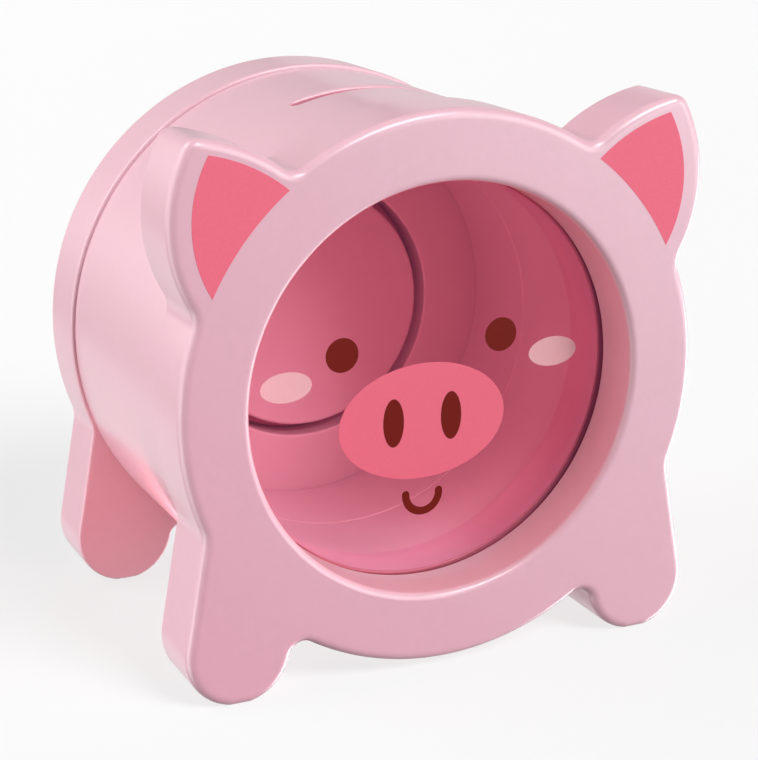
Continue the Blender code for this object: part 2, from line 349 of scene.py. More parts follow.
def mix(tree, kind, a, b, factor, data="RGBA"):
    node = tree.nodes.new("ShaderNodeMix")
    node.data_type = data
    node.blend_type = kind
    sockets = {"RGBA": (6, 7, 2), "FLOAT": (2, 3, 0)}[data]
    for socket, value in ((node.inputs[0], factor), (node.inputs[sockets[0]], a),
                          (node.inputs[sockets[1]], b)):
        if isinstance(value, bpy.types.NodeSocket):
            tree.links.new(value, socket)
        else:
            socket.default_value = value
    return node.outputs[sockets[2]]


def paint(name, colour, deep, roughness=0.36, coat=0.55, grain=0.012, spec=0.5, painted_shade_within=None,
          painted_light_sweep=None, cut=None):
    """Sprayed satin paint over sanded board: faint mottling, orange peel, soft coat. Optional painted
    shade, painted bounce light with a faint painted glow, and a painted light sweep.
    """
    mat, tree, out = nodes_for(name)
    where = add(tree, "ShaderNodeTexCoord").outputs["Object"]
    broad = add(tree, "ShaderNodeTexNoise", {"Vector": where, "Scale": 22.0, "Detail": 3.0,
                                             "Roughness": 0.55})
    fine = add(tree, "ShaderNodeTexNoise", {"Vector": where, "Scale": 420.0, "Detail": 3.0,
                                            "Roughness": 0.6})
    peel = add(tree, "ShaderNodeTexNoise", {"Vector": where, "Scale": 900.0, "Detail": 2.0,
                                            "Roughness": 0.5})
    fade = add(tree, "ShaderNodeMapRange", {"Value": broad.outputs["Fac"], "From Min": 0.3,
                                            "From Max": 0.7, "To Min": 0.0, "To Max": 0.30})
    tint = mix(tree, "MIX", colour, deep, fade.outputs["Result"])
    if painted_shade_within or cut:
        apart = add(tree, "ShaderNodeSeparateXYZ", {"Vector": where})
        level = add(tree, "ShaderNodeCombineXYZ", {"X": apart.outputs["X"],
                                                   "Z": apart.outputs["Z"]})
        away = add(tree, "ShaderNodeVectorMath", {0: level.outputs["Vector"], 1: (0, 0, AXIS_Z)},
                   operation="DISTANCE")
    if painted_shade_within:
        # painted shade: inside the given radius of the barrel's axis the coat is a shade deeper,
        # standing in for the shade that the front panel casts into the ring
        inner = add(tree, "ShaderNodeMath", {0: away.outputs["Value"], 1: painted_shade_within[0]},
                    operation="LESS_THAN")
        tint = mix(tree, "MULTIPLY", tint, painted_shade_within[1], inner.outputs[0])
    if cut:
        # painted bounce light: between two radii only the walls of an opening show; their coat is
        # deepened and given a faint painted glow, standing in for the red light the walls throw on
        # each other
        below = add(tree, "ShaderNodeMapRange", {"Value": away.outputs["Value"],
                                                 "From Min": cut[1], "From Max": cut[1] - 0.0004,
                                                 "To Min": 0.0, "To Max": 1.0})
        above = add(tree, "ShaderNodeMath", {0: away.outputs["Value"], 1: cut[0]},
                    operation="GREATER_THAN")
        painted_bounce_mask = add(tree, "ShaderNodeMath", {0: below.outputs["Result"], 1: above.outputs[0]},
                    operation="MULTIPLY")
        tint = mix(tree, "MULTIPLY", tint, cut[2], painted_bounce_mask.outputs[0])
    if painted_light_sweep:
        # painted light: across the flat face the coat goes from a deeper multiplier at the lower left
        # to a lighter one at the upper right, standing in for how the light falls on the face
        height = add(tree, "ShaderNodeVectorMath", {0: where, 1: (1.081, 0.0, 1.258)},
                     operation="DOT_PRODUCT")
        ramp = add(tree, "ShaderNodeMapRange", {"Value": height.outputs["Value"],
                                                "From Min": -0.053, "From Max": 0.157,
                                                "To Min": 0.0, "To Max": 1.0})
        shade = mix(tree, "MIX", painted_light_sweep[0], painted_light_sweep[1], ramp.outputs["Result"])
        geometry = add(tree, "ShaderNodeNewGeometry")
        ahead = add(tree, "ShaderNodeVectorMath", {0: geometry.outputs["Normal"], 1: (0, -1, 0)},
                    operation="DOT_PRODUCT")
        flat = add(tree, "ShaderNodeMapRange", {"Value": ahead.outputs["Value"],
                                                "From Min": 0.6, "From Max": 0.98,
                                                "To Min": 0.0, "To Max": 1.0})
        tint = mix(tree, "MULTIPLY", tint, shade, flat.outputs["Result"])
    speck = add(tree, "ShaderNodeMapRange", {"Value": fine.outputs["Fac"], "From Min": 0.25,
                                             "From Max": 0.75, "To Min": 0.985, "To Max": 1.015})
    grey = add(tree, "ShaderNodeCombineColor", {"Red": speck.outputs["Result"],
                                                "Green": speck.outputs["Result"],
                                                "Blue": speck.outputs["Result"]})
    tint = mix(tree, "MULTIPLY", tint, grey.outputs["Color"], 1.0)
    rough = add(tree, "ShaderNodeMapRange", {"Value": broad.outputs["Fac"], "From Min": 0.3,
                                             "From Max": 0.7, "To Min": roughness - 0.03,
                                             "To Max": roughness + 0.04})
    bump = add(tree, "ShaderNodeBump", {"Strength": grain * 8, "Distance": 0.00012,
                                        "Height": peel.outputs["Fac"]})
    bump = add(tree, "ShaderNodeBump", {"Strength": grain * 6, "Distance": 0.0004,
                                        "Height": fine.outputs["Fac"],
                                        "Normal": bump.outputs["Normal"]})
    shader = add(tree, "ShaderNodeBsdfPrincipled",
                 {"Base Color": tint, "Roughness": rough.outputs["Result"],
                  "Normal": bump.outputs["Normal"], "Specular IOR Level": spec,
                  "Coat Weight": coat, "Coat Roughness": 0.16})
    if cut:
        # the painted glow of the opening's walls
        tree.links.new(painted_bounce_mask.outputs[0], shader.inputs["Emission Strength"])
        shader.inputs["Emission Color"].default_value = cut[3]
    tree.links.new(shader.outputs[0], out.inputs["Surface"])
    return mat


def ink(name, colour, roughness=0.4):
    """Screen-printed ink: flat colour with a faint grain and a soft shine."""
    mat, tree, out = nodes_for(name)
    where = add(tree, "ShaderNodeTexCoord").outputs["Object"]
    fine = add(tree, "ShaderNodeTexNoise", {"Vector": where, "Scale": 1500.0, "Detail": 2.0})
    speck = add(tree, "ShaderNodeMapRange", {"Value": fine.outputs["Fac"], "From Min": 0.25,
                                             "From Max": 0.75, "To Min": 0.97, "To Max": 1.03})
    grey = add(tree, "ShaderNodeCombineColor", {"Red": speck.outputs["Result"],
                                                "Green": speck.outputs["Result"],
                                                "Blue": speck.outputs["Result"]})
    tint = mix(tree, "MULTIPLY", colour, grey.outputs["Color"], 1.0)
    bump = add(tree, "ShaderNodeBump", {"Strength": 0.05, "Distance": 0.00005,
                                        "Height": fine.outputs["Fac"]})
    shader = add(tree, "ShaderNodeBsdfPrincipled",
                 {"Base Color": tint, "Roughness": roughness, "Normal": bump.outputs["Normal"],
                  "Specular IOR Level": 0.15})
    tree.links.new(shader.outputs[0], out.inputs["Surface"])
    return mat


def acrylic(name, tint_near, tint_edge, glow, painted_veil_tint, border):
    """Rose-tinted clear sheet: light passes through coloured, a little mirrors off. It also carries a
    painted seam shade, a painted glow that lights the wall round it and a painted reflection veil.
    """
    mat, tree, out = nodes_for(name)
    where = add(tree, "ShaderNodeTexCoord").outputs["Object"]
    wave = add(tree, "ShaderNodeTexNoise", {"Vector": where, "Scale": 9.0, "Detail": 1.0})
    bump = add(tree, "ShaderNodeBump", {"Strength": 0.02, "Distance": 0.002,
                                        "Height": wave.outputs["Fac"]})
    geometry = add(tree, "ShaderNodeNewGeometry")
    along = add(tree, "ShaderNodeVectorMath", {0: geometry.outputs["True Normal"], 1: (0, 1, 0)},
                operation="DOT_PRODUCT")
    face = add(tree, "ShaderNodeMath", {0: along.outputs["Value"]}, operation="ABSOLUTE")
    rim = add(tree, "ShaderNodeMapRange", {"Value": face.outputs[0], "From Min": 0.5,
                                           "From Max": 0.9, "To Min": 0.0, "To Max": 1.0})
    colour = mix(tree, "MIX", tint_edge, tint_near, rim.outputs["Result"])
    # painted shade: the sheet darkens in the seam where it meets the panel
    apart = add(tree, "ShaderNodeSeparateXYZ", {"Vector": where})
    level = add(tree, "ShaderNodeCombineXYZ", {"X": apart.outputs["X"], "Z": apart.outputs["Z"]})
    away = add(tree, "ShaderNodeVectorMath", {0: level.outputs["Vector"], 1: (0, 0, AXIS_Z)},
               operation="DISTANCE")
    painted_seam_shade = add(tree, "ShaderNodeMapRange", {"Value": away.outputs["Value"],
                                            "From Min": border - 0.0004, "From Max": border - 0.0001,
                                            "To Min": 0.0, "To Max": 1.0})
    colour = mix(tree, "MULTIPLY", colour, (0.80, 0.55, 0.52, 1.0), painted_seam_shade.outputs["Result"])
    path = add(tree, "ShaderNodeLightPath")
    colour = mix(tree, "MIX", colour, (1.0, 1.0, 1.0, 1.0), path.outputs["Is Shadow Ray"])
    clear = add(tree, "ShaderNodeBsdfTransparent", {"Color": colour})
    shine = add(tree, "ShaderNodeBsdfGlossy", {"Color": (1, 1, 1, 1), "Roughness": 0.04,
                                               "Normal": bump.outputs["Normal"]})
    facing = add(tree, "ShaderNodeFresnel", {"IOR": 1.30, "Normal": bump.outputs["Normal"]})
    # only the outward sides mirror: light leaving the sheet passes straight on at every angle
    entering = add(tree, "ShaderNodeMath", {0: 1.0, 1: geometry.outputs["Backfacing"]},
                   operation="SUBTRACT")
    mirror = add(tree, "ShaderNodeMath", {0: facing.outputs[0], 1: entering.outputs[0]},
                 operation="MULTIPLY")
    mixed = add(tree, "ShaderNodeMixShader", {0: mirror.outputs[0], 1: clear.outputs[0],
                                              2: shine.outputs[0]})
    # painted glow: the sheet, all but its outer few millimetres, sends out red light, unseen by the
    # camera, which lights the chamber and reddens the wall round it
    middle = add(tree, "ShaderNodeMapRange", {"Value": away.outputs["Value"],
                                              "From Min": border - 0.007, "From Max": border - 0.002,
                                              "To Min": glow[3], "To Max": 0.0})
    unseen = add(tree, "ShaderNodeMath", {0: middle.outputs["Result"],
                                          1: path.outputs["Is Camera Ray"]},
                 operation="SUBTRACT", use_clamp=True)
    painted_glow_lamp = add(tree, "ShaderNodeEmission", {"Color": (glow[0], glow[1], glow[2], 1.0),
                                               "Strength": unseen.outputs[0]})
    total = add(tree, "ShaderNodeAddShader", {0: mixed.outputs[0], 1: painted_glow_lamp.outputs[0]})
    # painted reflection: a faint veil of the studio's white, seen by the camera only, laid over the
    # sheet
    painted_veil = add(tree, "ShaderNodeEmission", {"Color": (painted_veil_tint[0], painted_veil_tint[1], painted_veil_tint[2], 1.0),
                                            "Strength": path.outputs["Is Camera Ray"]})
    total = add(tree, "ShaderNodeAddShader", {0: total.outputs[0], 1: painted_veil.outputs[0]})
    tree.links.new(total.outputs[0], out.inputs["Surface"])
    return mat


def rubber(name, colour):
    mat, tree, out = nodes_for(name)
    where = add(tree, "ShaderNodeTexCoord").outputs["Object"]
    fine = add(tree, "ShaderNodeTexNoise", {"Vector": where, "Scale": 700.0, "Detail": 4.0})
    bump = add(tree, "ShaderNodeBump", {"Strength": 0.25, "Distance": 0.00008,
                                        "Height": fine.outputs["Fac"]})
    tone = add(tree, "ShaderNodeMapRange", {"Value": fine.outputs["Fac"], "From Min": 0.3,
                                            "From Max": 0.7, "To Min": 0.9, "To Max": 1.1})
    grey = add(tree, "ShaderNodeCombineColor", {"Red": tone.outputs["Result"],
                                                "Green": tone.outputs["Result"],
                                                "Blue": tone.outputs["Result"]})
    tint = mix(tree, "MULTIPLY", colour, grey.outputs["Color"], 1.0)
    shader = add(tree, "ShaderNodeBsdfPrincipled",
                 {"Base Color": tint, "Roughness": 0.68, "Normal": bump.outputs["Normal"]})
    tree.links.new(shader.outputs[0], out.inputs["Surface"])
    return mat


def beech(name):
    """Bare turned beech: fine streaks along the dowel with short darker flecks."""
    mat, tree, out = nodes_for(name)
    where = add(tree, "ShaderNodeTexCoord").outputs["Object"]
    long = add(tree, "ShaderNodeMapping", {"Vector": where, "Scale": (1.0, 0.06, 1.0)})
    streak = add(tree, "ShaderNodeTexNoise", {"Vector": long.outputs[0], "Scale": 900.0,
                                              "Detail": 5.0, "Roughness": 0.65})
    fleck = add(tree, "ShaderNodeTexNoise", {"Vector": long.outputs[0], "Scale": 2600.0,
                                             "Detail": 2.0})
    ramp = add(tree, "ShaderNodeValToRGB", {"Fac": streak.outputs["Fac"]})
    ramp.color_ramp.elements[0].position, ramp.color_ramp.elements[1].position = 0.35, 0.68
    ramp.color_ramp.elements[0].color = srgb(196, 150, 104)
    ramp.color_ramp.elements[1].color = srgb(226, 190, 145)
    dots = add(tree, "ShaderNodeMapRange", {"Value": fleck.outputs["Fac"], "From Min": 0.62,
                                            "From Max": 0.72, "To Min": 0.0, "To Max": 0.5})
    tint = mix(tree, "MIX", ramp.outputs["Color"], srgb(150, 100, 62), dots.outputs["Result"])
    bump = add(tree, "ShaderNodeBump", {"Strength": 0.2, "Distance": 0.0001,
                                        "Height": streak.outputs["Fac"]})
    shader = add(tree, "ShaderNodeBsdfPrincipled",
                 {"Base Color": tint, "Roughness": 0.55, "Normal": bump.outputs["Normal"]})
    tree.links.new(shader.outputs[0], out.inputs["Surface"])
    return mat


PINK = srgb(222, 177, 189)
PINK_DEEP = srgb(219, 171, 184)
# the front face carries a painted light sweep, deeper at the lower left and lighter at the upper
# right
MAT_FRONT = paint("pink_paint_front", PINK, PINK_DEEP,
                  painted_light_sweep=((1.0, 0.84, 0.90, 1.0), (1.035, 1.05, 1.075, 1.0)))
MAT_BARREL = paint("pink_paint_barrel", PINK, PINK_DEEP)
# painted shade deepens the front ring's inner wall
MAT_RING = paint("pink_paint_front_ring", PINK, PINK_DEEP, painted_shade_within=(0.0500, (0.97, 0.78, 0.86, 1.0)))
# painted bounce light and a faint painted glow on the slot's walls
MAT_SLOT_RING = paint("pink_paint_slot_ring", PINK, PINK_DEEP,
                      cut=(BARREL_INNER + 0.0005, BARREL_R - 0.00030, (0.93, 0.66, 0.74, 1.0),
                           (0.030, 0.0, 0.004, 1.0)))
MAT_REAR = paint("pink_paint_rear", PINK, PINK_DEEP)
MAT_DOOR = paint("pink_paint_door", PINK, PINK_DEEP)
# the pane's material paints a seam shade, a glow that lights the chamber and a reflection veil
MAT_PANE = acrylic("rose_acrylic", (0.970, 0.822, 0.866, 1.0), (0.25, 0.02, 0.05, 1.0),
                   (1.0, 0.0, 0.02, 0.210), (0.030, 0.006, 0.016), WINDOW_R)
MAT_SEAL = rubber("seal_rubber", srgb(198, 112, 130))
MAT_BEECH = beech("bare_beech")
INK_PINK = ink("pink_print", srgb(232, 108, 130))
INK_PALE = ink("pale_print", srgb(228, 172, 178))
INK_DARK = ink("dark_print", srgb(112, 22, 12))


def dress(obj, mat, body, slot_name, *stands_for):
    obj.data.materials.clear()
    obj.data.materials.append(mat)
    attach(obj, body)
    if stands_for:
        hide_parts(*stands_for)
    return obj


def dowel_holes(radius=DOWEL_R + 0.0003):
    return [circle(radius, 32, (DOWEL_RING * math.cos(math.radians(a)),
                                DOWEL_RING * math.sin(math.radians(a)))) for a in DOWELS]


# ------------------------------------------------------------------ front panel
def front_panel():
    sheet = Sheet("front_panel_painted")
    line = panel_outline(FRONT_R, True)
    edge = ([(EDGE_OUT + 0.0004, 0.0)] + quarter(EDGE_OUT, 8)
            + [(-0.0 + i, THICK - d) for i, d in reversed(quarter(EDGE_IN, 4))]
            + [(EDGE_IN + 0.0004, THICK)])
    front, back = sheet.skin(sheet.rings(line, edge))
    lip = ([(-WINDOW_ROUND - 0.0003, 0.0)]
           + [(-i, d) for i, d in quarter(WINDOW_ROUND, 6)]
           + [(0.0, SEAT_AT), (-(REBATE_R - WINDOW_R), SEAT_AT),
              (-(REBATE_R - WINDOW_R), THICK)])
    hole_front, hole_back = sheet.skin(sheet.rings(circle(WINDOW_R, 300), lip))
    sheet.cap(front, hole_front)
    pockets = []
    for hole in dowel_holes():
        mouth, floor = sheet.skin(sheet.rings(hole, [(0, THICK), (0, THICK - DOWEL_IN - 0.0005)]))
        sheet.cap(floor)
        pockets.append(mouth)
    sheet.cap(back, hole_back, *pockets)
    return sheet.done()


panel = front_panel()
for v in panel.data.vertices:                  # leaves the ears' print room within the box
    if v.co.y - FACE < 0.003:
        v.co.y += PRINT_ROOM * (1 - (v.co.y - FACE) / 0.003)
dress(panel, MAT_FRONT, "box", "pink_paint_front", "front_panel")


# ------------------------------------------------------------------ barrel rings
def barrel_ring(name, inner, start, end, soft_end=0.0, spigot=None):
    """One ring of the barrel. Its ends butt on its neighbours', so the paint looks unbroken.

    spigot is the radius and the front depth of a collar that reaches into the panel's rebate.
    """
    sheet = Sheet(name)
    outer = [(0.0, start)]
    tail = ([(i, end - d) for i, d in reversed(quarter(soft_end, 3))] + [(soft_end + 0.0002, end)]
            if soft_end else [(0.0, end)])
    a, b = sheet.skin(sheet.rings(circle(BARREL_R, 360), outer + tail))
    front = spigot[1] if spigot else start
    c, d = sheet.skin(sheet.rings(circle(inner, 300), [(-0.0003, front), (0.0, front + 0.0003),
                                                       (0.0, end - 0.0003), (-0.0003, end)]))
    if spigot:
        rim, c_out = sheet.skin(sheet.rings(circle(spigot[0], 300), [(0.0, front), (0.0, start)]))
        sheet.cap(rim, c)
        c = c_out
    first, last = [], []
    for hole in dowel_holes():
        p, q = sheet.skin(sheet.rings(hole, [(0, start), (0, end)]))
        first.append(p)
        last.append(q)
    sheet.cap(a, c, *first)
    sheet.cap(b, d, *last)
    return sheet.done()


RING1 = G_HI.y - FACE + 0.00015
RING2 = B_HI.y - FACE + 0.00015
ring = barrel_ring("barrel_front_ring_painted", RING_FRONT_INNER, THICK, RING1,
                   spigot=(SPIGOT_R, G_LO.y - FACE))
dress(ring, MAT_RING, "box", "pink_paint_barrel", "barrel_front_ring")
ring = barrel_ring("barrel_rear_ring_painted", BARREL_INNER, RING2, BACK, soft_end=0.0002)
dress(ring, MAT_BARREL, "box", "pink_paint_barrel", "barrel_rear_ring")


def slot_cutter():
    """A stadium through the top whose lips open out to follow the barrel's curve."""
    half = SLOT_LENGTH / 2 - SLOT_WIDTH / 2
    r = SLOT_WIDTH / 2
    line = (straight((-half, -r), (half, -r), 0.0008)[:-1]
            + arc((half, 0), r, -math.pi / 2, math.pi / 2, math.radians(1.8))[:-1]
            + straight((half, r), (-half, r), 0.0008)[:-1]
            + arc((-half, 0), r, math.pi / 2, 3 * math.pi / 2, math.radians(1.8))[:-1])
    line = tidy(line)
    normals = normals_of(line)
    # the lip leaves the surface at a slight angle, so that the cut's rim is clean
    last = math.radians(81)
    profile = [(SLOT_ROUND - SLOT_ROUND * math.cos(a), -SLOT_ROUND + SLOT_ROUND * math.sin(a))
               for a in (last * i / 6 for i in range(6, -1, -1))]
    profile.insert(0, (profile[0][0] + 0.001 * math.sin(last),
                       profile[0][1] + 0.001 * math.cos(last)))
    # both ends of the tool are flat: the top stands clear of the barrel, the foot in the chamber
    profile.insert(0, (profile[0][0], None, BARREL_R + 0.003))
    profile += [(0.0, None, BARREL_R - 0.022)]
    bm = bmesh.new()
    rings = []
    for out, down, *level in profile:
        row = []
        for p, n in zip(line, normals):
            x, y = p.x + n.x * out, p.y + n.y * out
            z = level[0] if level else math.sqrt(BARREL_R ** 2 - x * x) + down
            row.append(bm.verts.new((x, FACE + SLOT_AT + y, AXIS_Z + z)))
        rings.append(row)
    for a, b in zip(rings, rings[1:]):
        for i in range(len(a)):
            j = (i + 1) % len(a)
            bm.faces.new((a[i], a[j], b[j], b[i]))
    for row in (rings[0], rings[-1]):
        edges = [bm.edges.get((row[i], row[(i + 1) % len(row)])) for i in range(len(row))]
        bmesh.ops.triangle_fill(bm, use_beauty=True, use_dissolve=False, edges=edges)
    bmesh.ops.recalc_face_normals(bm, faces=bm.faces)
    if bm.calc_volume(signed=True) < 0:
        bmesh.ops.reverse_faces(bm, faces=bm.faces)
    bmesh.ops.triangulate(bm, faces=bm.faces)
    mesh = bpy.data.meshes.new("slot_tool")
    bm.to_mesh(mesh)
    bm.free()
    obj = bpy.data.objects.new("slot_tool", mesh)
    bpy.context.scene.collection.objects.link(obj)
    return obj


def slot_ring():
    obj = barrel_ring("barrel_slot_ring_painted", BARREL_INNER, RING1, RING2)
    tool = slot_cutter()
    cutting = obj.modifiers.new("slot", "BOOLEAN")
    cutting.operation, cutting.solver, cutting.object = "DIFFERENCE", "MANIFOLD", tool
    as_mesh(obj)
    bpy.data.objects.remove(tool, do_unlink=True)
    # exact round normals on the barrel's own faces, so that the cut leaves no shading marks
    mesh = obj.data
    mesh.shade_smooth()
    bm = bmesh.new()
    bm.from_mesh(mesh)
    bm.normal_update()
    kinds = {}
    for face in bm.faces:
        c = face.calc_center_median()
        away = Vector((c.x, 0, c.z - AXIS_Z))
        deep = [v.co.y for v in face.verts]
        if (max(deep) - min(deep) > 0.00001
                and all(abs(Vector((v.co.x, 0, v.co.z - AXIS_Z)).length - BARREL_R) < 0.000015
                        for v in face.verts)):
            kinds[face.index] = "out"
        elif abs(face.normal.y) > 0.999:
            kinds[face.index] = "flat"
        elif abs(away.length - BARREL_INNER) < 0.00006 and face.normal.dot(away.normalized()) < -0.99:
            kinds[face.index] = "in"
        else:
            kinds[face.index] = "free"
    normals = []
    for face in bm.faces:
        kind = kinds[face.index]
        for loop in face.loops:
            v = loop.vert
            away = Vector((v.co.x, 0, v.co.z - AXIS_Z)).normalized()
            if kind == "flat":
                normals.append(face.normal.copy())
            elif kind == "out":
                normals.append(away)
            elif kind == "in":
                normals.append(-away)
            else:
                near = [o for o in v.link_faces if o.normal.dot(face.normal) > 0.80]
                if any(kinds[o.index] == "out" for o in near):
                    normals.append(away)
                else:
                    total = Vector()
                    for o in near:
                        total += o.normal * max(o.calc_area(), 1e-12)
                    normals.append(total.normalized() if total.length else face.normal.copy())
    bm.free()
    mesh.normals_split_custom_set([tuple(n) for n in normals])
    return obj


dress(slot_ring(), MAT_SLOT_RING, "box", "pink_paint_barrel", "barrel_slot_ring")


# ------------------------------------------------------------------ rear panel
def rear_panel():
    sheet = Sheet("rear_panel_painted")
    line = panel_outline(REAR_R, False)
    edge = ([(EDGE_IN + 0.0004, BACK)] + [(i, BACK + d) for i, d in quarter(EDGE_IN, 4)]
            + [(i, END - d) for i, d in reversed(quarter(EDGE_OUT, 8))]
            + [(EDGE_OUT + 0.0004, END)])
    front, back = sheet.skin(sheet.rings(line, edge))
    seat = END - DOOR_SEAT_DEPTH
    step = DOOR_SEAT_R - DOOR_HOLE_R
    lip = ([(-0.0009, BACK)] + [(-i, BACK + d) for i, d in quarter(0.0006, 4)]
           + [(0.0, seat), (-step, seat)]
           + [(-step - i, END - d) for i, d in reversed(quarter(0.0008, 4))]
           + [(-step - 0.0011, END)])
    inner, outer = sheet.skin(sheet.rings(circle(DOOR_HOLE_R, 240), lip))
    pockets = []
    for hole in dowel_holes():
        mouth, floor = sheet.skin(sheet.rings(hole, [(0, BACK), (0, BACK + DOWEL_IN + 0.0005)]))
        sheet.cap(floor)
        pockets.append(mouth)
    sheet.cap(front, inner, *pockets)
    sheet.cap(back, outer)
    return sheet.done()


dress(rear_panel(), MAT_REAR, "box", "pink_paint_rear", "rear_panel")


# ------------------------------------------------------------------ rear door with finger grip
def grip_outline(side):
    """One finger pocket: a round recess ended by the grip bar, with softened corners."""
    lift = GRIP_BAR / 2
    soft = 0.0022
    # corner circles touch the bar's face and the recess's round wall from inside
    x = math.sqrt((GRIP_R - soft) ** 2 - (lift + soft) ** 2)
    right, left = Vector((x, lift + soft)), Vector((-x, lift + soft))
    line = turn(right, soft, right + Vector((0, -1)), right * 2)
    line += turn(Vector((0, 0)), GRIP_R, right, left)
    line += turn(left, soft, left * 2, left + Vector((0, -1)))
    line += straight(left + Vector((0, -soft)), right + Vector((0, -soft)))
    line = tidy(line)
    if side < 0:
        line = [Vector((p.x, -p.y)) for p in reversed(line)]
    return line


def rear_door():
    sheet = Sheet("rear_door_painted")
    seat = END - DOOR_SEAT_DEPTH + 0.0003
    rim = DOOR_SEAT_R - 0.0003
    profile = ([(DOOR_BOSS_R - rim, 0)] and
               [(rim - (DOOR_BOSS_R - 0.0013), BACK)]
               + [(rim - DOOR_BOSS_R + i, BACK + d) for i, d in quarter(0.0010, 5)]
               + [(rim - DOOR_BOSS_R, seat), (0.0004, seat), (0.0, seat + 0.0004)]
               + [(i, END - d) for i, d in reversed(quarter(0.0012, 6))]
               + [(0.0015, END)])
    inner, outer = sheet.skin(sheet.rings(circle(rim, 240), profile))
    sheet.cap(inner)
    mouths = []
    for side in (1, -1):
        line = grip_outline(side)
        wall = ([(-0.0014, END)] + [(-i, END - d) for i, d in quarter(0.0011, 5)][0:]
                + [(0.0 + i, END - GRIP_DEPTH + d) for i, d in reversed(quarter(0.0018, 5))]
                + [(0.0021, END - GRIP_DEPTH)])
        wall = [wall[0]] + [(-i, END - d) for i, d in quarter(0.0011, 5)] + wall[7:]
        mouth, floor = sheet.skin(sheet.rings(line, wall))
        sheet.cap(floor)
        mouths.append(mouth)
    sheet.cap(outer, *mouths)
    return sheet.done()


dress(rear_door(), MAT_DOOR, "door", "pink_paint_door", "rear_door")


def seal_ring():
    """Ribbed rubber ring: three low ribs that press on the opening's wall."""
    sheet = Sheet("door_seal_ribbed")
    start, end = S_LO.y - FACE, S_HI.y - FACE
    outer_r = (S_HI.x - S_LO.x) / 2
    inner_r = DOOR_BOSS_R + 0.0003
    low = 0.0005
    profile = [(0.0009, start), (low, start + 0.0003)]
    count = 24
    for i in range(count + 1):
        t = i / count
        rise = max(0.0, math.sin(t * 3 * math.pi)) if t < 1 / 3 or t > 2 / 3 else \
            max(0.0, -math.sin(t * 3 * math.pi))
        profile.append((low * (1 - abs(math.sin(t * 3 * math.pi)) ** 0.7),
                        start + 0.0005 + (end - start - 0.0010) * t))
    profile += [(low, end - 0.0003), (0.0009, end)]
    a, b = sheet.skin(sheet.rings(circle(outer_r, 200), profile))
    c, d = sheet.skin(sheet.rings(circle(inner_r, 200), [(-0.0003, start), (0, start + 0.0003),
                                                         (0, end - 0.0003), (-0.0003, end)]))
    sheet.cap(a, c)
    sheet.cap(b, d)
    return sheet.done()


dress(seal_ring(), MAT_SEAL, "seal", "seal_rubber", "door_seal_ring")


# ------------------------------------------------------------------ window pane
def window_pane():
    sheet = Sheet("window_pane_clear")
    profile = ([(0.0005, PANE_FROM), (0.0003, PANE_FROM), (0.0, PANE_FROM + 0.0003),
                (0.0, PANE_TO - 0.0003), (0.0003, PANE_TO), (0.0005, PANE_TO)])
    a, b = sheet.skin(sheet.rings(circle(PANE_R, 300), profile))
    sheet.cap(a)
    sheet.cap(b)
    return sheet.done()


dress(window_pane(), MAT_PANE, "box", "rose_acrylic", "window_pane")


# ------------------------------------------------------------------ printed face and ears
def printed(name, outline, depth, mat, slot_name, height=0.00006):
    """A flat film of ink standing a hair proud of the surface at depth."""
    sheet = Sheet(name)
    a, b = sheet.skin(sheet.rings(outline, [(height, depth - height), (0.0, depth - height * 0.4),
                                            (0.0, depth - 0.00001)]))
    sheet.cap(a)
    sheet.cap(b)
    return dress(sheet.done(), mat, "box", slot_name)


def ear_patch():
    """Between arcs that run inside the ear's two edges and a ring just outside the face's rim."""
    side, top, o = Vector(EAR_SIDE_C), Vector(EAR_TOP_C), Vector((0.0, 0.0))
    side_r, top_r, ring_r = EAR_SIDE_R - 0.00535, EAR_TOP_R - 0.0032, U * 0.976
    tip = between(side, side_r, top, top_r, (U, U))
    inner = between(o, ring_r, top, top_r, (U * 0.6, U * 0.8))
    lower = between(o, ring_r, side, side_r, (U * 0.87, U * 0.44))
    line = turn(side, side_r, lower, tip)
    line += turn(top, top_r, tip, inner)
    line += turn(o, ring_r, inner, lower, clockwise=True)
    return tidy(line)


def mirrored(line):
    return [Vector((-p.x, p.y)) for p in reversed(line)]


patch = ear_patch()
printed("ear_print_right", patch, PRINT_ROOM, INK_PINK, "pink_print")
printed("ear_print_left", mirrored(patch), PRINT_ROOM, INK_PINK, "pink_print")

AT = PANE_FROM
for label, sign in (("left", -1), ("right", 1)):
    printed("eye_print_" + label, ellipse(sign * 0.316 * U, 0.119 * U, 0.0637 * U, 0.0635 * U),
            AT, INK_DARK, "dark_print")
    printed("cheek_print_" + label, ellipse(sign * 0.5315 * U, 0.0285 * U, 0.0985 * U, 0.0555 * U),
            AT, INK_PALE, "pale_print")
printed("snout_print", ellipse(0.0, -0.166 * U, 0.3315 * U, 0.2158 * U, count=160), AT, INK_PINK,
        "pink_print")
for label, sign in (("left", -1), ("right", 1)):
    printed("nostril_print_" + label,
            ellipse(sign * 0.1154 * U, -0.1598 * U, 0.0412 * U, 0.0904 * U),
            AT - 0.00006, INK_DARK, "dark_print")


def smile():
    """A U-shaped stroke with round ends."""
    r, w = 0.0665 * U, 0.0150 * U
    cz = -0.4415 * U
    reach = math.radians(3)
    ends = (math.pi - reach, 2 * math.pi + reach)
    line = arc((0, cz), r + w, ends[0], ends[1], math.radians(1))
    tip = (r * math.cos(ends[1]), cz + r * math.sin(ends[1]))
    line += arc(tip, w, ends[1], ends[1] + math.pi, math.radians(2))[1:-1]
    line += arc((0, cz), r - w, ends[1], ends[0], math.radians(1))
    tip = (r * math.cos(ends[0]), cz + r * math.sin(ends[0]))
    line += arc(tip, w, ends[0] + math.pi, ends[0] + 2 * math.pi, math.radians(2))[1:-1]
    return tidy(line)


printed("mouth_print", smile(), AT, INK_DARK, "dark_print")

